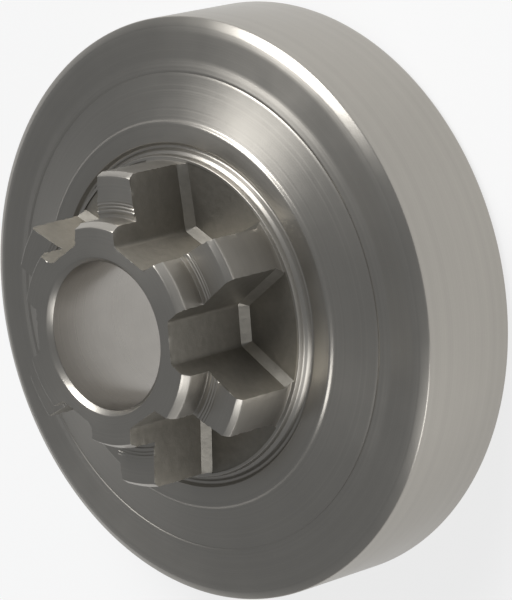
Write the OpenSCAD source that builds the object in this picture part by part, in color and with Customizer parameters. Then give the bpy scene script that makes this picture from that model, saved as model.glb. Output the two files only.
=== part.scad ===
// Clutch drum with an integral six tooth spur sprocket, one turned and milled steel piece.
// All lengths are millimetres. Z runs along the bore, from the open rim at z = 0 to the nose.
// One sprocket gullet is centred on +X and one on -X.

/* [Cup] */
// Outside diameter of the cup
drum_d = 56; // [52:0.5:64]
// Height of the plain outside wall
wall_h = 11.5; // [9:0.5:15]
// Thickness of the cup wall, outside of the shoe track
wall_t = 2.4; // [1.6:0.1:3.4]
// Depth of the cup from the rim to its floor
cup_depth = 9.3; // [7:0.1:9.6]
// Radius of the corner between the shoe track and the cup floor
corner_r = 1.2; // [0.6:0.1:2]
// Edge break on both sides of the open rim
rim_chamfer = 0.5; // [0.2:0.1:0.8]

/* [Inside of the hub] */
// Small diameter of the dished recess in the cup floor
dish_d = 32; // [28:0.5:34]
// Height of the dished recess above the cup floor
dish_rise = 2; // [1:0.1:2.5]
// Radial run of the slope around the recess
dish_run = 2.5; // [1.5:0.1:4]
// Diameter of the bearing pad around the inner end of the bore
pad_d = 21; // [18:0.5:24]
// How far the pad stands out of the recess
pad_h = 0.9; // [0.4:0.1:1.6]

/* [Drum face] */
// Radial run of the outer shoulder chamfer
shoulder_run = 0.8; // [0.4:0.1:1.4]
// Rise of the outer shoulder chamfer
shoulder_rise = 0.5; // [0.3:0.1:0.9]
// Radial run of the softer break above the shoulder
break_run = 0.6; // [0.3:0.1:1]
// Rise of the softer break
break_rise = 0.2; // [0.1:0.05:0.3]
// Diameter where the flat outer face ends and the step starts
step_d = 48; // [46.5:0.5:50]
// Rise of the flat outer face from its outer edge to the step
face_rise = 0.15; // [0.05:0.05:0.4]
// Radial run of the step
step_run = 1; // [0.5:0.1:1.2]
// Rise of the step
step_rise = 0.4; // [0.2:0.05:0.6]
// Width of the parting groove at the foot of the cone
foot_groove_w = 0.3; // [0.2:0.05:0.5]
// Depth of the parting groove
foot_groove_depth = 0.09; // [0.04:0.01:0.2]
// Rise of the cone
cone_rise = 1.26; // [0.8:0.02:1.8]
// Diameter of the raised land at the top of the cone
land_d = 37.2; // [36:0.2:39]
// Rise of the edge of the land above the cone
land_edge = 0.3; // [0.2:0.05:0.5]
// Outer diameter of the groove inside the land
groove_d = 32.94; // [32:0.02:34]
// Width of the groove
groove_w = 0.75; // [0.5:0.05:0.9]
// Depth of the groove
groove_depth = 0.42; // [0.2:0.02:0.6]

/* [Sprocket] */
// Number of teeth
teeth = 6; // [5:1:7]
// Diameter over the tooth tips
tip_d = 29.8; // [29:0.1:30]
// Diameter of the seat that the teeth stand on
seat_d = 30.64; // [30.4:0.02:31]
// Height of the seat above the land
seat_rise = 0.76; // [0.5:0.02:1.2]
// Height of the teeth above the seat
tooth_h = 7.04; // [5:0.1:9]
// Radial run of the chamfer on the front of the tips
tip_chamfer_run = 0.4; // [0.2:0.05:0.7]
// Height of the chamfer on the front of the tips
tip_chamfer_h = 0.55; // [0.3:0.05:0.9]
// Distance from the axis to the flat bottom of a gullet
root_dist = 8.6; // [8.4:0.05:9.2]
// Width of the flat bottom of a gullet
root_w = 3.96; // [3:0.1:4.6]
// Angle of each gullet flank to the middle of the gullet
flank_angle = 34.6; // [30:0.2:38]
// Radius in the two corners at the bottom of a gullet
root_r = 0.45; // [0.2:0.05:0.8]
// Depth of the gullet floor below the seat
pocket_drop = 0.12; // [0.04:0.02:0.3]
// Diameter of the circle that the gullet floors end on
pocket_d = 30.1; // [30:0.02:30.3]
// Radial run of the bevel left round the foot of a gullet
foot_bevel_run = 0.6; // [0.2:0.02:1]
// Height of the bevel left round the foot of a gullet
foot_bevel_h = 0.86; // [0.3:0.02:1.2]

/* [Nose] */
// Diameter of the turned nose in front of the teeth
nose_d = 21.28; // [20.4:0.1:23]
// Height of the nose above the tooth fronts
nose_h = 3.05; // [1.5:0.05:5]
// Radial run of the nose chamfer
nose_chamfer_run = 0.44; // [0.2:0.02:0.8]
// Height of the nose chamfer
nose_chamfer_h = 0.84; // [0.3:0.02:1.2]
// Width of the relief at the foot of the nose
relief_w = 0.44; // [0.2:0.02:0.8]
// Depth of the relief at the foot of the nose
relief_depth = 0.15; // [0.05:0.01:0.4]

/* [Bore] */
// Diameter of the through bore for the needle cage
bore_d = 14; // [12:0.1:15]
// Edge break at both ends of the bore
bore_chamfer = 0.46; // [0.2:0.02:0.7]

/* [Hidden] */
$fn = 180;
over = 1;
arc_steps = 4;

drum_r = drum_d / 2;
track_r = drum_r - wall_t;
bore_r = bore_d / 2;
tip_r = tip_d / 2;
seat_r = seat_d / 2;
pocket_r = pocket_d / 2;
land_r = land_d / 2;
groove_r = groove_d / 2;
step_r = step_d / 2;
nose_r = nose_d / 2;
pad_r = pad_d / 2;
dish_r = dish_d / 2;

// Heights of the drum face, each stacked on the one before it
shoulder_z = wall_h + shoulder_rise;
break_z = shoulder_z + break_rise;
step_z = break_z + face_rise;
foot_z = step_z + step_rise;
cone_z = foot_z + cone_rise;
land_z = cone_z + land_edge;
seat_z = land_z + seat_rise;
floor_z = seat_z - pocket_drop;
front_z = seat_z + tooth_h;
nose_z = front_z + nose_h;

// Radii at the step and at the foot of the cone
foot_r = step_r - step_run;
cone_r = foot_r - foot_groove_w;

dish_z = cup_depth + dish_rise;
pad_z = dish_z - pad_h;

// Points of an arc about c, radius r, from angle a to angle b
function arc(c, r, a, b) = [
    for (i = [0 : arc_steps])
        let (t = a + (b - a) * i / arc_steps)
        [c[0] + r * cos(t), c[1] + r * sin(t)]
];

// Outer side of the turned section, from the open rim up to the bore mouth
function outside_points() = [
    [drum_r - rim_chamfer, 0],
    [drum_r, rim_chamfer],
    [drum_r, wall_h],
    [drum_r - shoulder_run, shoulder_z],
    [drum_r - shoulder_run - break_run, break_z],
    [step_r, step_z],
    [foot_r, foot_z],
    [foot_r - foot_groove_w / 2, foot_z - foot_groove_depth],
    [cone_r, foot_z],
    [land_r, cone_z],
    [land_r - land_edge * 0.6, land_z - land_edge * 0.2],
    [land_r - land_edge, land_z],
    [groove_r, land_z],
    [groove_r - groove_w * 0.3, land_z - groove_depth],
    [groove_r - groove_w * 0.7, land_z - groove_depth],
    [groove_r - groove_w, land_z],
    [seat_r + (groove_r - groove_w - seat_r) * 0.25, land_z + seat_rise * 0.28],
    [seat_r, seat_z],
    [tip_r, seat_z],
    [tip_r, front_z - tip_chamfer_h],
    [tip_r - tip_chamfer_run, front_z],
    [nose_r + relief_w, front_z],
    [nose_r + relief_w, front_z - relief_depth],
    [nose_r, front_z - relief_depth],
    [nose_r, nose_z - nose_chamfer_h],
    [nose_r - nose_chamfer_run, nose_z],
    [bore_r + bore_chamfer, nose_z],
    [bore_r, nose_z - bore_chamfer]
];

// Inner side of the turned section, from the bore down to the open rim
function inside_points() = concat(
    [
        [bore_r, pad_z + bore_chamfer],
        [bore_r + bore_chamfer, pad_z],
        [pad_r, pad_z],
        [pad_r, dish_z],
        [dish_r, dish_z],
        [dish_r + dish_run, cup_depth]
    ],
    arc([track_r - corner_r, cup_depth - corner_r], corner_r, 90, 0),
    [
        [track_r, rim_chamfer],
        [track_r + rim_chamfer, 0]
    ]
);

module turned_blank() {
    rotate_extrude()
        polygon(concat(outside_points(), inside_points()));
}

// Half width of a gullet at a distance x from the axis
function gullet_half(x) = root_w / 2 + (x - root_dist) * tan(flank_angle);

// Outline of one gullet, flat at the bottom with two rounded corners
module gullet_outline() {
    turn = 90 - flank_angle;
    back = root_r * tan(turn / 2);
    reach = drum_r;
    polygon(concat(
        [[reach, -gullet_half(reach)]],
        arc([root_dist + root_r, back - root_w / 2], root_r, 180 + turn, 180),
        arc([root_dist + root_r, root_w / 2 - back], root_r, 180, 180 - turn),
        [[reach, gullet_half(reach)]]
    ));
}

// One straight bevel whose foot runs along X, standing on the gullet floor
module bevel_bar(length) {
    steep = foot_bevel_h / foot_bevel_run;
    rotate([90, 0, 90])
        linear_extrude(height = length)
            polygon([
                [-over, -over],
                [foot_bevel_run + over / steep, -over],
                [-over, foot_bevel_h + over * steep]
            ]);
}

// Bevels along the bottom and both flanks of a gullet
module gullet_bevels() {
    translate([root_dist, root_w / 2 + over, floor_z])
        rotate([0, 0, -90])
            bevel_bar(root_w + 2 * over);
    for (side = [0, 1])
        mirror([0, side, 0])
            translate([root_dist, -root_w / 2, floor_z])
                rotate([0, 0, -flank_angle])
                    translate([-over, 0, 0])
                        bevel_bar(drum_r);
}

// The shape that one gullet takes out of the blank, with bevelled edges at its foot
module gullet_space() {
    difference() {
        intersection() {
            translate([0, 0, floor_z])
                linear_extrude(height = nose_z - floor_z + over)
                    gullet_outline();
            cylinder(r = pocket_r, h = nose_z + 2 * over);
        }
        gullet_bevels();
    }
}

module clutch_drum() {
    color([0.42, 0.40, 0.37])
        difference() {
            turned_blank();
            for (i = [0 : teeth - 1])
                rotate([0, 0, i * 360 / teeth])
                    gullet_space();
        }
}

clutch_drum();
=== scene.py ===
import math

import bmesh
import bpy
from bpy.props import FloatProperty, FloatVectorProperty, IntProperty, PointerProperty
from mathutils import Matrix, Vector, noise


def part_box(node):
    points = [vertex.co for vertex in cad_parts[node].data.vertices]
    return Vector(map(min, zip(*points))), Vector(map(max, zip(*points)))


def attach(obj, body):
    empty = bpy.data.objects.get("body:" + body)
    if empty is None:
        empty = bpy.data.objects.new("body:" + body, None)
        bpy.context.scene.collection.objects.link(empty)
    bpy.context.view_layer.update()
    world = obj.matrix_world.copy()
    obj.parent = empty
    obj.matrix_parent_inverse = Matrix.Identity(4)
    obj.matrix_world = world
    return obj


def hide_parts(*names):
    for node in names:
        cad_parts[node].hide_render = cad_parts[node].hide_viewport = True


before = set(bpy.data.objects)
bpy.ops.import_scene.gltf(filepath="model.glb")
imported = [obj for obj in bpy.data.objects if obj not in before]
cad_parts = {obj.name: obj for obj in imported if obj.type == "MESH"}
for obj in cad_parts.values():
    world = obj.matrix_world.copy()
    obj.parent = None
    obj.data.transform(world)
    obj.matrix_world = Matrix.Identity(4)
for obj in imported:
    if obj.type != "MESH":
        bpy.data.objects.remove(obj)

bl_info = {
    "name": "Clutch drum",
    "version": (1, 0, 0),
    "blender": (4, 5, 0),
    "location": "View3D > Sidebar > Clutch drum",
    "description": "Models a turned steel clutch drum with its sprocket, and the studio round it",
    "category": "Object",
}

MM = 0.001
NODE = "clutch_drum"
BODY = "root"
CAD_LOW, CAD_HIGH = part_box(NODE)
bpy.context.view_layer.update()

# Material slots of the drum, in the order that the faces are numbered with
FINISHES = (
    "turned_face",
    "turned_wall",
    "turned_sprocket",
    "forged_gullet",
    "ground_bore",
    "turned_track",
    # the burr finish is painted brighter than the other steel, as a glint
    "bright_burr",
)
FACE, WALL, SPROCKET, FORGED, BORE, TRACK, BURR = range(len(FINISHES))


def length(label, description, mm):
    """A length that a user can change, given in millimetres and kept in metres."""
    return FloatProperty(
        name=label, description=description, default=mm * MM, min=0.0, unit="LENGTH", precision=5
    )


def share(label, description, value):
    """A plain number between nought and one."""
    return FloatProperty(name=label, description=description, default=value, min=0.0, max=1.0)


def colour(label, description, value):
    """A colour that a user can change."""
    return FloatVectorProperty(
        name=label, description=description, default=value, size=3, min=0.0, max=1.0, subtype="COLOR"
    )


class DrumSizes(bpy.types.PropertyGroup):
    """Sizes of the turned section and of the gullets."""

    drum_r: length("Drum radius", "Outside radius of the cup", CAD_HIGH[0] / MM)
    nose_z: length("Height", "Height of the nose face above the open rim", CAD_HIGH[2] / MM)
    wall_h: length("Wall height", "Height of the plain outside wall", 11.5)
    wall_t: length("Wall thickness", "Thickness of the cup wall", 2.4)
    cup_depth: length("Cup depth", "Depth of the cup from the rim to its floor", 9.3)
    corner_r: length("Cup corner", "Radius between the shoe track and the cup floor", 1.2)
    rim_chamfer: length("Rim chamfer", "Edge break of the open rim", 0.5)
    dish_r: length("Dish radius", "Small radius of the recess in the cup floor", 16.0)
    dish_rise: length("Dish rise", "Height of the recess above the cup floor", 2.0)
    dish_run: length("Dish run", "Radial run of the slope round the recess", 2.5)
    pad_r: length("Pad radius", "Radius of the pad round the inner end of the bore", 10.5)
    pad_h: length("Pad height", "How far the pad stands out of the recess", 0.9)
    step_r: length("Step radius", "Radius where the flat outer face ends", 24.0)
    foot_r: length("Cone foot", "Radius where the step meets the cone's groove", 23.0)
    foot_w: length("Foot groove", "Width of the groove at the foot of the cone", 0.3)
    land_r: length("Land radius", "Outer radius of the raised land", 18.6)
    land_z: length("Land height", "Height of the raised land above the rim", 14.31)
    groove_r: length("Groove radius", "Outer radius of the groove inside the land", 16.47)
    groove_w: length("Groove width", "Width of the groove inside the land", 0.75)
    groove_h: length("Groove depth", "Depth of the groove inside the land", 0.42)
    seat_r: length("Seat radius", "Radius of the seat that the teeth stand on", 15.32)
    seat_z: length("Seat height", "Height of the seat above the rim", 15.07)
    tip_r: length("Tip radius", "Radius over the tooth tips", 14.9)
    front_z: length("Tooth fronts", "Height of the tooth fronts above the rim", 22.11)
    nose_r: length("Nose radius", "Radius of the turned nose", 10.64)
    bore_r: length("Bore radius", "Radius of the through bore", 7.0)
    bore_chamfer: length("Bore chamfer", "Edge break at both ends of the bore", 0.46)
    root_x: length("Gullet root", "Distance from the axis to the flat bottom of a gullet", 8.6)
    root_w: length("Root width", "Width of the flat bottom of a gullet", 3.96)
    root_r: length("Root corner", "Radius in the two corners at the bottom of a gullet", 0.45)
    floor_z: length("Gullet floor", "Height of the gullet floors above the rim", 14.95)
    pocket_r: length("Pocket radius", "Radius that the gullet floors end on", 15.05)
    bevel_run: length("Foot bevel run", "Run of the bevel round the foot of a gullet", 0.6)
    bevel_h: length("Foot bevel height", "Height of the bevel round the foot of a gullet", 0.86)
    grid: length("Gullet grid", "Spacing of the cuts across a gullet", 0.27)
    forge_scale: length("Forging grain", "Size of the lumps on the forged gullet faces", 0.55)
    forge_depth: length("Forging depth", "Depth of the lumps on the forged gullet faces", 0.05)
    chip_scale: length("Chip size", "Size of the chips along the gullet edges", 0.35)
    chip_depth: length("Chip depth", "Depth of the chips along the gullet edges", 0.22)
    burr_r: length("Burr radius", "Half thickness of the burrs on the gullet edges", 0.07)
    burr_run: length("Burr run", "How far a burr runs before it breaks off", 1.6)
    burr_gap: FloatProperty(name="Burr gap", description="Higher leaves fewer burrs", default=0.05)
    flank_angle: FloatProperty(
        name="Flank angle",
        description="Angle of each gullet flank to the middle of the gullet",
        default=math.radians(34.6),
        subtype="ANGLE",
    )
    teeth: IntProperty(name="Teeth", description="Number of teeth", default=6, min=3)
    turns: IntProperty(name="Turning steps", description="Faces round the turned blank", default=240)


class FinishValues(bpy.types.PropertyGroup):
    """Colours and roughness of the steel."""

    steel: colour("Turned steel", "Colour of the turned faces", (0.40, 0.38, 0.345))
    forged: colour("Forged steel", "Colour of the forged gullets", (0.27, 0.255, 0.225))
    ground: colour("Ground steel", "Colour of the ground bore", (0.46, 0.44, 0.41))
    turned_rough: share("Turned roughness", "Roughness of the turned faces", 0.36)
    forged_rough: share("Forged roughness", "Roughness of the forged gullets", 0.5)
    ground_rough: share("Ground roughness", "Roughness of the ground bore", 0.3)


class StudioValues(bpy.types.PropertyGroup):
    """Camera and lights."""

    lens: FloatProperty(name="Lens", description="Focal length on a 36 mm sensor", default=242.03)
    camera_place: FloatVectorProperty(
        name="Camera place",
        description="Where the camera stands",
        default=(0.26366, 0.06576, 0.27901),
        subtype="TRANSLATION",
    )
    camera_turn: FloatVectorProperty(
        name="Camera turn",
        description="Turn of the camera about X, Y and Z",
        default=(math.radians(-13.98926), math.radians(42.91075), math.radians(-6.03696)),
        subtype="EULER",
    )
    key_power: FloatProperty(name="Key", description="Power of the key lamp in watts", default=6.0)
    fill_power: FloatProperty(name="Fill", description="Power of the fill lamp in watts", default=2.0)


# Modelling helpers


def start_clean():
    """Leave edit mode and deselect everything."""
    if bpy.context.object and bpy.context.object.mode != "OBJECT":
        bpy.ops.object.mode_set(mode="OBJECT")
    bpy.ops.object.select_all(action="DESELECT")


def pick(test, kind="verts"):
    """Select, in edit mode, exactly the vertices, edges or faces that pass the test."""
    mesh = bmesh.from_edit_mesh(bpy.context.object.data)
    bpy.ops.mesh.select_all(action="DESELECT")
    bpy.ops.mesh.select_mode(type={"verts": "VERT", "edges": "EDGE", "faces": "FACE"}[kind])
    for part in getattr(mesh, kind):
        if test(part):
            part.select_set(True)
    mesh.select_flush_mode()
    bmesh.update_edit_mesh(bpy.context.object.data)


def middle(part):
    """Middle of an edge or a face."""
    return sum((v.co for v in part.verts), Vector()) / len(part.verts)


def take(piece):
    """Make a piece active, and the only one selected."""
    start_clean()
    piece.select_set(True)
    bpy.context.view_layer.objects.active = piece


def edit(piece):
    """Make a piece active, alone, and go into edit mode."""
    take(piece)
    bpy.ops.object.mode_set(mode="EDIT")


def finish_modifier(piece, kind, **settings):
    """Add a modifier with these settings and apply it."""
    take(piece)
    modifier = piece.modifiers.new(kind.title(), kind)
    for name, value in settings.items():
        setattr(modifier, name, value)
    bpy.ops.object.modifier_apply(modifier=modifier.name)


def check(piece):
    """Stop if a piece is not one closed mesh."""
    mesh = bmesh.new()
    mesh.from_mesh(piece.data)
    open_edges = [e for e in mesh.edges if len(e.link_faces) != 2]
    mesh.free()
    if open_edges:
        raise RuntimeError(f"{piece.name} has {len(open_edges)} open edges")


# The turned blank


def outside_corners(size):
    """Corners of the section's outer side as radius, height and edge break, from the rim to the bore."""
    wall = size.wall_h
    groove = size.groove_r
    inner = groove - size.groove_w
    return [
        (size.drum_r - size.rim_chamfer, 0.0, 0.06),
        (size.drum_r, size.rim_chamfer, 0.1),
        (size.drum_r, wall, 0.12),
        (size.drum_r - 0.8 * MM, wall + 0.5 * MM, 0.15),
        (size.drum_r - 1.4 * MM, wall + 0.7 * MM, 0.2),
        (size.step_r, wall + 0.85 * MM, 0.2),
        (size.foot_r, wall + 1.25 * MM, 0.12),
        (size.foot_r - 0.5 * size.foot_w, wall + 1.16 * MM, 0.03),
        (size.foot_r - size.foot_w, wall + 1.25 * MM, 0.08),
        (size.land_r, size.land_z - 0.3 * MM, 0.1),
        (size.land_r - 0.18 * MM, size.land_z - 0.06 * MM, 0.05),
        (size.land_r - 0.3 * MM, size.land_z, 0.06),
        (groove, size.land_z, 0.06),
        (groove - 0.3 * size.groove_w, size.land_z - size.groove_h, 0.1),
        (groove - 0.7 * size.groove_w, size.land_z - size.groove_h, 0.1),
        (inner, size.land_z, 0.06),
        (size.seat_r + 0.25 * (inner - size.seat_r), size.land_z + 0.28 * (size.seat_z - size.land_z), 0.1),
        (size.seat_r, size.seat_z, 0.06),
        (size.tip_r, size.seat_z, 0.05),
        (size.tip_r, size.front_z - 0.55 * MM, 0.08),
        (size.tip_r - 0.4 * MM, size.front_z, 0.07),
    ] + tool_marks(size) + [
        (size.nose_r + 0.44 * MM, size.front_z, 0.04),
        (size.nose_r + 0.44 * MM, size.front_z - 0.15 * MM, 0.03),
        (size.nose_r, size.front_z - 0.15 * MM, 0.05),
        (size.nose_r, size.nose_z - 0.84 * MM, 0.08),
        (size.nose_r - 0.44 * MM, size.nose_z, 0.07),
        (size.bore_r + size.bore_chamfer, size.nose_z, 0.06),
        (size.bore_r, size.nose_z - size.bore_chamfer, 0.06),
    ]


def tool_marks(size):
    """Corners of the three fine rings that the tool left on the tooth fronts, near the nose."""
    corners = []
    for ring_r, depth in ((12.05, 0.04), (11.75, 0.07), (11.42, 0.06)):
        corners += [
            ((ring_r + 0.1) * MM, size.front_z, 0.02),
            (ring_r * MM, size.front_z - depth * MM, 0.02),
            ((ring_r - 0.1) * MM, size.front_z, 0.02),
        ]
    return corners


def inside_corners(size):
    """Corners of the section's inner side, from the bore down to the rim."""
    dish_z = size.cup_depth + size.dish_rise
    pad_z = dish_z - size.pad_h
    track_r = size.drum_r - size.wall_t
    return [
        (size.bore_r, pad_z + size.bore_chamfer, 0.06),
        (size.bore_r + size.bore_chamfer, pad_z, 0.06),
        (size.pad_r, pad_z, 0.15),
        (size.pad_r, dish_z, 0.2),
        (size.dish_r, dish_z, 0.6),
        (size.dish_r + size.dish_run, size.cup_depth, 0.6),
        (track_r, size.cup_depth, size.corner_r / MM),
        (track_r, size.rim_chamfer, 0.06),
        (track_r + size.rim_chamfer, 0.0, 0.06),
    ]


def draw_outline(name, corners):
    """Draw the section as a closed loop of edges, vertex by vertex, and round its corners."""
    start_clean()
    bpy.ops.mesh.primitive_plane_add(size=MM)
    piece = bpy.context.object
    piece.name = name
    bpy.ops.object.mode_set(mode="EDIT")
    bpy.ops.mesh.select_all(action="SELECT")
    bpy.ops.mesh.merge(type="CENTER")
    here = Vector()
    for number, (radius, height, _) in enumerate(corners):
        there = Vector((radius, 0.0, height))
        if number == 0:
            bpy.ops.transform.translate(value=there)
        else:
            bpy.ops.mesh.extrude_vertices_move(TRANSFORM_OT_translate={"value": there - here})
        here = there
    pick(lambda v: v.index in (0, len(corners) - 1))
    bpy.ops.mesh.edge_face_add()
    bpy.ops.object.mode_set(mode="OBJECT")
    widest = max(edge_break for _, _, edge_break in corners)
    weights = piece.data.attributes.new("bevel_weight_vert", "FLOAT", "POINT")
    for weight, (_, _, edge_break) in zip(weights.data, corners):
        weight.value = edge_break / widest
    finish_modifier(
        piece, "BEVEL", affect="VERTICES", limit_method="WEIGHT", width=widest * MM, segments=3
    )
    return piece


def divide_long_edges(piece, test, step):
    """Cut every straight stretch of the section that passes the test into pieces of about one step."""
    edit(piece)
    mesh = bmesh.from_edit_mesh(piece.data)
    spans = [
        (middle(e), e.calc_length())
        for e in mesh.edges
        if test(middle(e)) and e.calc_length() > 1.5 * step
    ]
    for centre, span in spans:
        pick(lambda e: (middle(e) - centre).length < 1e-7 and abs(e.calc_length() - span) < 1e-7, "edges")
        bpy.ops.mesh.subdivide(number_cuts=math.ceil(span / step) - 1)
    bpy.ops.object.mode_set(mode="OBJECT")


def turn_blank(size):
    """Spin the section round the bore into the blank that the gullets are cut from."""
    piece = draw_outline("drum", outside_corners(size) + inside_corners(size))

    def toothed(point):
        return point.z > size.seat_z + 0.05 * MM and point.x > size.bore_r + 0.1 * MM

    divide_long_edges(piece, toothed, size.grid)
    edit(piece)
    bpy.ops.mesh.select_all(action="SELECT")
    bpy.ops.mesh.spin(steps=size.turns, angle=math.tau, center=(0, 0, 0), axis=(0, 0, 1))
    bpy.ops.mesh.select_all(action="SELECT")
    bpy.ops.mesh.remove_doubles(threshold=1e-7)
    bpy.ops.mesh.normals_make_consistent(inside=False)
    bpy.ops.object.mode_set(mode="OBJECT")
    check(piece)
    return piece


# The gullets


def gullet_tool(size):
    """The shape that one gullet takes out of the blank, on +X, with a bevel round its foot."""
    reach = size.tip_r + 2.2 * MM
    top = size.nose_z + 1.5 * MM
    foot = size.floor_z + size.bevel_h
    outer_w = size.root_w + 2 * (reach - size.root_x) * math.tan(size.flank_angle)
    start_clean()
    bpy.ops.mesh.primitive_cube_add(size=1.0)
    piece = bpy.context.object
    piece.name = "gullet_tool"
    bpy.ops.object.mode_set(mode="EDIT")
    bpy.ops.mesh.select_all(action="SELECT")
    bpy.ops.transform.resize(value=(reach - size.root_x, size.root_w, top - foot))
    bpy.ops.transform.translate(value=((reach + size.root_x) / 2, 0, (top + foot) / 2))
    pick(lambda v: v.co.x > size.root_x + MM)
    bpy.ops.transform.resize(value=(1, outer_w / size.root_w, 1))
    pick(lambda e: abs(e.verts[0].co.z - e.verts[1].co.z) > MM and middle(e).x < size.root_x + MM, "edges")
    setback = size.root_r * math.tan((math.pi / 2 - size.flank_angle) / 2)
    bpy.ops.mesh.bevel(offset=setback, offset_type="OFFSET", segments=4, affect="EDGES")
    pick(lambda f: f.normal.z < -0.9, "faces")
    bpy.ops.mesh.inset(thickness=size.bevel_run, depth=size.bevel_h)
    bpy.ops.object.mode_set(mode="OBJECT")
    return piece


def trim_to_pocket(piece, size):
    """Keep only what lies inside the circle that the gullet floors end on."""
    start_clean()
    bpy.ops.mesh.primitive_cylinder_add(
        vertices=size.turns, radius=size.pocket_r, depth=4 * size.nose_z, location=(0, 0, size.nose_z)
    )
    ring = bpy.context.object
    finish_modifier(piece, "BOOLEAN", operation="INTERSECT", object=ring, solver="MANIFOLD")
    bpy.data.objects.remove(ring)


def slice_into_grid(piece, size):
    """Cut a gullet tool across in all three directions, so that its faces can be roughened."""
    low = [min(v.co[axis] for v in piece.data.vertices) for axis in range(3)]
    high = [max(v.co[axis] for v in piece.data.vertices) for axis in range(3)]
    edit(piece)
    for axis in range(3):
        normal = Vector((axis == 0, axis == 1, axis == 2))
        count = round((high[axis] - low[axis]) / size.grid)
        for number in range(1, count):
            place = low[axis] + (high[axis] - low[axis]) * number / count
            bpy.ops.mesh.select_all(action="SELECT")
            bpy.ops.mesh.bisect(plane_co=normal * place, plane_no=normal)
    bpy.ops.mesh.select_all(action="SELECT")
    bpy.ops.mesh.remove_doubles(threshold=2e-6)
    bpy.ops.object.mode_set(mode="OBJECT")


def turned_copy(piece, angle):
    """A copy with its own mesh, turned about the bore."""
    take(piece)
    bpy.ops.object.duplicate()
    copy = bpy.context.object
    bpy.ops.object.mode_set(mode="EDIT")
    bpy.ops.mesh.select_all(action="SELECT")
    bpy.ops.transform.rotate(value=angle, orient_axis="Z", center_override=(0, 0, 0))
    bpy.ops.object.mode_set(mode="OBJECT")
    return copy


def roughen(piece, size):
    """Give a gullet tool the lumps of forged steel."""
    coarse = bpy.data.textures.new("forged_lumps", "CLOUDS")
    coarse.noise_scale = size.forge_scale
    coarse.noise_depth = 3
    finish_modifier(
        piece, "DISPLACE", texture=coarse, texture_coords="LOCAL", strength=size.forge_depth, mid_level=0.5
    )
    bpy.data.textures.remove(coarse)


def cut_gullets(drum, size):
    """Cut one gullet between each two teeth, all from one tool that is copied round."""
    tool = gullet_tool(size)
    trim_to_pocket(tool, size)
    slice_into_grid(tool, size)
    check(tool)
    tools = [turned_copy(tool, math.tau * number / size.teeth) for number in range(size.teeth)]
    bpy.data.objects.remove(tool)
    for copy in tools:
        roughen(copy, size)
        copy.data.materials.clear()
        copy.data.materials.append(bpy.data.materials[FINISHES[FORGED]])
        for face in copy.data.polygons:
            face.material_index = 0
    start_clean()
    for copy in tools:
        copy.select_set(True)
    bpy.context.view_layer.objects.active = tools[0]
    bpy.ops.object.join()
    cutter = bpy.context.object
    finish_modifier(
        drum, "BOOLEAN", operation="DIFFERENCE", object=cutter, solver="MANIFOLD", material_mode="TRANSFER"
    )
    bpy.data.objects.remove(cutter)


def on_gullet_rim(edge, size):
    """True for an edge between a gullet and a turned face, above the seat."""
    slots = {face.material_index for face in edge.link_faces}
    return len(slots) == 2 and FORGED in slots and middle(edge).z > size.seat_z + 0.4 * MM


def nibble_rims(drum, size):
    """Make the edges of the gullets uneven, as turning across them leaves them."""
    edit(drum)
    pick(lambda e: on_gullet_rim(e, size), "edges")
    bpy.ops.object.vertex_group_assign_new()
    bpy.ops.object.mode_set(mode="OBJECT")
    group = drum.vertex_groups[-1]
    group.name = "gullet_rims"
    chips = bpy.data.textures.new("rim_chips", "CLOUDS")
    chips.noise_scale = size.chip_scale
    chips.noise_depth = 2
    finish_modifier(
        drum, "DISPLACE", texture=chips, texture_coords="LOCAL", strength=size.chip_depth,
        mid_level=0.55, vertex_group=group.name,
    )
    bpy.data.textures.remove(chips)


def raise_burrs(drum, size):
    """Lay broken, uneven threads of metal along the gullet edges and join them to the drum."""
    edit(drum)
    pick(
        lambda e: on_gullet_rim(e, size) and noise.noise(middle(e) / size.burr_run) > size.burr_gap, "edges"
    )
    bpy.ops.mesh.duplicate()
    bpy.ops.mesh.separate(type="SELECTED")
    bpy.ops.object.mode_set(mode="OBJECT")
    threads = next(o for o in bpy.context.selected_objects if o is not drum)
    take(threads)
    bpy.ops.object.convert(target="CURVE")
    curve = threads.data
    curve.dimensions = "3D"
    curve.bevel_depth = size.burr_r
    curve.bevel_resolution = 1
    curve.use_fill_caps = True
    for spline in curve.splines:
        count = len(spline.points)
        for number, point in enumerate(spline.points):
            ends = min(1.0, 0.25 + min(number, count - 1 - number) / 3)
            lump = noise.noise(point.co.to_3d() / size.chip_scale)
            point.radius = ends * max(0.35, 1.0 + 1.1 * lump)
    bpy.ops.object.convert(target="MESH")
    threads.name = "burr_threads"
    threads.data.materials.clear()
    threads.data.materials.append(bpy.data.materials[FINISHES[BURR]])
    finish_modifier(
        drum, "BOOLEAN", operation="UNION", object=threads, solver="MANIFOLD", material_mode="TRANSFER"
    )
    bpy.data.objects.remove(threads)


# Finishes


class Maths:
    """A number inside a material, on which plain arithmetic adds Math nodes."""

    def __init__(self, shader, socket):
        self.shader = shader
        self.socket = socket

    def op(self, operation, *others, **settings):
        return self.shader.maths(operation, self, *others, **settings)

    def __add__(self, other):
        return self.op("ADD", other)

    def __sub__(self, other):
        return self.op("SUBTRACT", other)

    def __mul__(self, other):
        return self.op("MULTIPLY", other)

    def __truediv__(self, other):
        return self.op("DIVIDE", other)

    def __pow__(self, other):
        return self.op("POWER", other)

    def __rsub__(self, other):
        return self.shader.maths("SUBTRACT", other, self)

    __radd__ = __add__
    __rmul__ = __mul__


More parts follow.
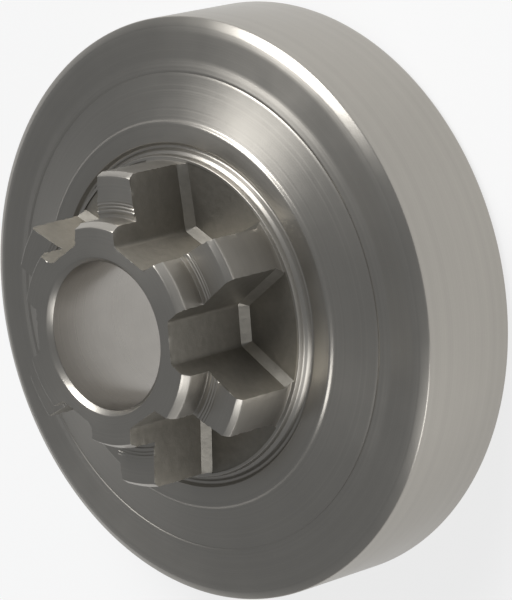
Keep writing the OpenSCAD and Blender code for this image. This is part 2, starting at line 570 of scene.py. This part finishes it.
class Shader:
    """One material being built."""

    def __init__(self, name):
        self.material = bpy.data.materials.new(name)
        self.material.use_nodes = True
        self.tree = self.material.node_tree
        self.tree.nodes.clear()

    def node(self, kind, settings=None, **inputs):
        """A node of this type with its settings made first, then its sockets filled or linked."""
        made = self.tree.nodes.new(kind)
        for name, value in (settings or {}).items():
            setattr(made, name, value)
        for name, value in inputs.items():
            self.fill(made.inputs[name.replace("_", " ")], value)
        return made

    def fill(self, socket, value):
        """Link a socket, or set its value."""
        if isinstance(value, Maths):
            value = value.socket
        if isinstance(value, bpy.types.NodeSocket):
            self.tree.links.new(value, socket)
        else:
            socket.default_value = value

    def maths(self, operation, *values, clamp=False):
        """A Math node on these values."""
        made = self.node("ShaderNodeMath", {"operation": operation, "use_clamp": clamp})
        for socket, value in zip(made.inputs, values):
            self.fill(socket, value)
        return Maths(self, made.outputs[0])

    def noise(self, scale, detail=2.0, roughness=0.5, vector=None, w=None):
        """Noise between nought and one, over space or over one number."""
        made = self.node(
            "ShaderNodeTexNoise",
            {"noise_dimensions": "1D" if w is not None else "3D"},
            Scale=scale, Detail=detail, Roughness=roughness,
        )
        self.fill(made.inputs["W" if w is not None else "Vector"], w if w is not None else vector)
        return Maths(self, made.outputs[0])

    def tint(self, factor, dark, light):
        """A colour between two colours."""
        made = self.node("ShaderNodeMix", {"data_type": "RGBA"})
        self.fill(made.inputs[0], factor)
        self.fill(made.inputs[6], (*dark, 1.0))
        self.fill(made.inputs[7], (*light, 1.0))
        return made.outputs[2]

    def place(self):
        """Place on the piece in millimetres, its radius from the bore's axis and its height."""
        coords = self.node("ShaderNodeTexCoord").outputs["Object"]
        scaled = self.node("ShaderNodeVectorMath", {"operation": "SCALE"}, Vector=coords, Scale=1.0 / MM)
        point = scaled.outputs[0]
        parts = self.node("ShaderNodeSeparateXYZ", Vector=point)
        x, y, z = (Maths(self, out) for out in parts.outputs)
        radius = (x * x + y * y) ** 0.5
        return point, radius, z

    def bump(self, height, distance, strength=1.0, normal=None):
        """A Bump node for this height, with its depth in metres."""
        made = self.node("ShaderNodeBump", Height=height, Distance=distance, Strength=strength)
        if normal is not None:
            self.fill(made.inputs["Normal"], normal)
        return made.outputs[0]

    def finish(self, colour_socket, roughness, normal, anisotropy=0.0, turn=0.0):
        """Close the material with a metal surface."""
        surface = self.node("ShaderNodeBsdfPrincipled", Metallic=1.0, Roughness=roughness, Normal=normal)
        self.fill(surface.inputs["Base Color"], colour_socket)
        surface.inputs["Anisotropic"].default_value = anisotropy
        surface.inputs["Anisotropic Rotation"].default_value = turn
        out = self.node("ShaderNodeOutputMaterial")
        self.tree.links.new(surface.outputs[0], out.inputs["Surface"])
        return self.material


def shade(tone, factor):
    """A colour made darker or lighter."""
    return tuple(channel * factor for channel in tone)


def turned_steel(name, values, rings, anisotropy=0.6, rough=None):
    """Steel with the fine rings that a lathe tool leaves."""
    shader = Shader(name)
    point, radius, height = shader.place()
    wander = shader.noise(0.35, 2.0, vector=point)
    along = radius + height * 1.37 + wander * 0.05
    fine = shader.noise(rings, 3.0, 0.6, w=along)
    broad = shader.noise(rings * 0.12, 2.0, 0.5, w=along)
    patch = shader.noise(0.25, 3.0, 0.55, vector=point)
    speck = shader.noise(9.0, 2.0, 0.6, vector=point)
    tone = fine * 0.4 + broad * 0.25 + patch * 0.2 + speck * 0.15
    colour_socket = shader.tint(tone, shade(values.steel, 0.8), shade(values.steel, 1.2))
    roughness = (rough or values.turned_rough) + (fine - 0.5) * 0.12 + (patch - 0.5) * 0.1
    normal = shader.bump(fine + broad * 0.6, 1.2e-6)
    normal = shader.bump(speck, 1.5e-6, normal=normal)
    return shader.finish(colour_socket, roughness, normal, anisotropy, 0.25)


def forged_steel(name, values):
    """Dull forged steel with lumps, streaks and fine grit."""
    shader = Shader(name)
    point = shader.place()[0]
    lumps = shader.noise(1.6, 3.0, 0.55, vector=point)
    grit = shader.noise(7.0, 3.0, 0.6, vector=point)
    patch = shader.noise(0.5, 2.0, 0.5, vector=point)
    tone = lumps * 0.4 + grit * 0.3 + patch * 0.3
    colour_socket = shader.tint(tone, shade(values.forged, 0.7), shade(values.forged, 1.35))
    roughness = values.forged_rough + (grit - 0.5) * 0.2
    normal = shader.bump(lumps, 2.0e-5)
    normal = shader.bump(grit, 5.0e-6, normal=normal)
    return shader.finish(colour_socket, roughness, normal)


def ground_steel(name, values):
    """The bore, ground smooth, with fine scratches round it."""
    shader = Shader(name)
    point, radius, height = shader.place()
    lines = shader.noise(7.0, 4.0, 0.65, w=height + radius * 0.3)
    patch = shader.noise(0.4, 2.0, 0.5, vector=point)
    tone = lines * 0.6 + patch * 0.4
    colour_socket = shader.tint(tone, shade(values.ground, 0.8), shade(values.ground, 1.15))
    roughness = values.ground_rough + (lines - 0.5) * 0.15
    normal = shader.bump(lines, 1.0e-6)
    return shader.finish(colour_socket, roughness, normal, 0.6, 0.25)


def burr_steel(name, values):
    """Torn metal, its colour lifted to 1.2 to 1.6 times the ground steel as a painted glint of the light
    that the bent burrs catch.
    """
    shader = Shader(name)
    point = shader.place()[0]
    grit = shader.noise(6.0, 3.0, 0.6, vector=point)
    # painted glint: the burr colour is set well above the ground steel to stand for light caught on the
    # bent lips
    colour_socket = shader.tint(grit, shade(values.ground, 1.2), shade(values.ground, 1.6))
    normal = shader.bump(grit, 2.0e-5)
    return shader.finish(colour_socket, values.turned_rough + (grit - 0.5) * 0.2, normal)


def make_finishes(values):
    """All finishes of the drum, in the order of FINISHES."""
    turned_steel(FINISHES[FACE], values, 10.0)
    turned_steel(FINISHES[WALL], values, 7.0)
    turned_steel(FINISHES[SPROCKET], values, 9.0, 0.4)
    forged_steel(FINISHES[FORGED], values)
    ground_steel(FINISHES[BORE], values)
    turned_steel(FINISHES[TRACK], values, 5.0)
    burr_steel(FINISHES[BURR], values)


def face_finish(centre, size):
    """Number of the finish of a turned face, from where it lies on the section."""
    radius = math.hypot(centre.x, centre.y)
    if radius < size.bore_r + 0.02 * MM:
        return BORE
    if radius > size.drum_r - 0.05 * MM:
        return WALL
    if centre.z > size.seat_z - 0.2 * MM:
        return SPROCKET
    if centre.z > size.wall_h or radius > size.drum_r - 0.5 * MM:
        return FACE
    return TRACK


class CLUTCHDRUM_OT_drum(bpy.types.Operator):
    """Turn the drum from its section, cut the gullets and finish the steel"""

    bl_idname = "clutchdrum.drum"
    bl_label = "Drum"

    def execute(self, context):
        size = context.scene.drum_sizes
        make_finishes(context.scene.drum_finish)
        drum = turn_blank(size)
        for name in FINISHES:
            drum.data.materials.append(bpy.data.materials[name])
        for face in drum.data.polygons:
            face.material_index = face_finish(face.center, size)
        cut_gullets(drum, size)
        nibble_rims(drum, size)
        raise_burrs(drum, size)
        check(drum)
        take(drum)
        bpy.ops.object.shade_smooth_by_angle(angle=math.radians(28))
        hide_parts(NODE)
        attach(drum, BODY)
        return {"FINISHED"}


# The studio


def soft_lamp(name, power, place, aim, width, height):
    """A soft box that looks at a point."""
    start_clean()
    bpy.ops.object.light_add(type="AREA", location=place)
    lamp = bpy.context.object
    lamp.name = name
    lamp.data.shape = "RECTANGLE"
    lamp.data.size = width
    lamp.data.size_y = height
    lamp.data.energy = power
    lamp.rotation_euler = (Vector(aim) - Vector(place)).to_track_quat("-Z", "Y").to_euler()
    return lamp


class CLUTCHDRUM_OT_studio(bpy.types.Operator):
    """Set up the pale floor, the soft lamps and the camera"""

    bl_idname = "clutchdrum.studio"
    bl_label = "Studio"

    def execute(self, context):
        values = context.scene.drum_studio
        start_clean()
        bpy.ops.mesh.primitive_plane_add(size=6.0, location=(0, 0, -0.0001))
        floor = bpy.context.object
        floor.name = "floor"
        shader = Shader("floor_white")
        paths = shader.node("ShaderNodeLightPath")
        seen = Maths(shader, paths.outputs["Is Camera Ray"]).op(
            "MAXIMUM", Maths(shader, paths.outputs["Is Glossy Ray"])
        )
        dull = shader.node("ShaderNodeBsdfDiffuse", Color=(0.8, 0.8, 0.8, 1.0))
        glow = shader.node("ShaderNodeEmission", Color=(1.0, 1.0, 1.0, 1.0), Strength=1.0)
        mix = shader.node("ShaderNodeMixShader")
        shader.fill(mix.inputs[0], seen * 0.75)
        shader.fill(mix.inputs[1], dull.outputs[0])
        shader.fill(mix.inputs[2], glow.outputs[0])
        out = shader.node("ShaderNodeOutputMaterial")
        shader.fill(out.inputs["Surface"], mix.outputs[0])
        floor.data.materials.append(shader.material)

        world = bpy.data.worlds.new("studio")
        world.use_nodes = True
        world.node_tree.nodes["Background"].inputs[0].default_value = (0.75, 0.77, 0.8, 1.0)
        world.node_tree.nodes["Background"].inputs[1].default_value = 0.35
        context.scene.world = world

        soft_lamp("key", values.key_power, (-0.1, 0.6, 0.5), (0, 0, 0.01), 0.5, 0.4)
        soft_lamp("fill", values.fill_power, (0.6, -0.5, 0.3), (0, 0, 0.01), 0.4, 0.4)

        bpy.ops.object.camera_add(location=values.camera_place, rotation=values.camera_turn)
        camera = bpy.context.object
        camera.data.lens = values.lens
        camera.data.sensor_width = 36.0
        camera.data.clip_start = 0.01
        camera.data.clip_end = 20.0
        context.scene.camera = camera
        context.scene.view_settings.view_transform = "Standard"
        return {"FINISHED"}


class CLUTCHDRUM_PT_panel(bpy.types.Panel):
    """Buttons for the drum and the studio"""

    bl_label = "Clutch drum"
    bl_space_type = "VIEW_3D"
    bl_region_type = "UI"
    bl_category = "Clutch drum"

    def draw(self, context):
        for operator in OPERATORS:
            self.layout.operator(operator.bl_idname)
        for group in (context.scene.drum_sizes, context.scene.drum_finish, context.scene.drum_studio):
            box = self.layout.box()
            for name in group.bl_rna.properties.keys():
                if name not in ("rna_type", "name"):
                    box.prop(group, name)


OPERATORS = (CLUTCHDRUM_OT_studio, CLUTCHDRUM_OT_drum)
GROUPS = {"drum_sizes": DrumSizes, "drum_finish": FinishValues, "drum_studio": StudioValues}


def register():
    """Register the groups, operators and panel."""
    for name, group in GROUPS.items():
        bpy.utils.register_class(group)
        setattr(bpy.types.Scene, name, PointerProperty(type=group))
    for part in (*OPERATORS, CLUTCHDRUM_PT_panel):
        bpy.utils.register_class(part)


def unregister():
    """Take everything away that register added."""
    for part in (CLUTCHDRUM_PT_panel, *reversed(OPERATORS)):
        bpy.utils.unregister_class(part)
    for name, group in reversed(GROUPS.items()):
        delattr(bpy.types.Scene, name)
        bpy.utils.unregister_class(group)


def main():
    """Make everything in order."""
    register()
    bpy.ops.clutchdrum.studio()
    bpy.ops.clutchdrum.drum()


if __name__ == "__main__":
    main()
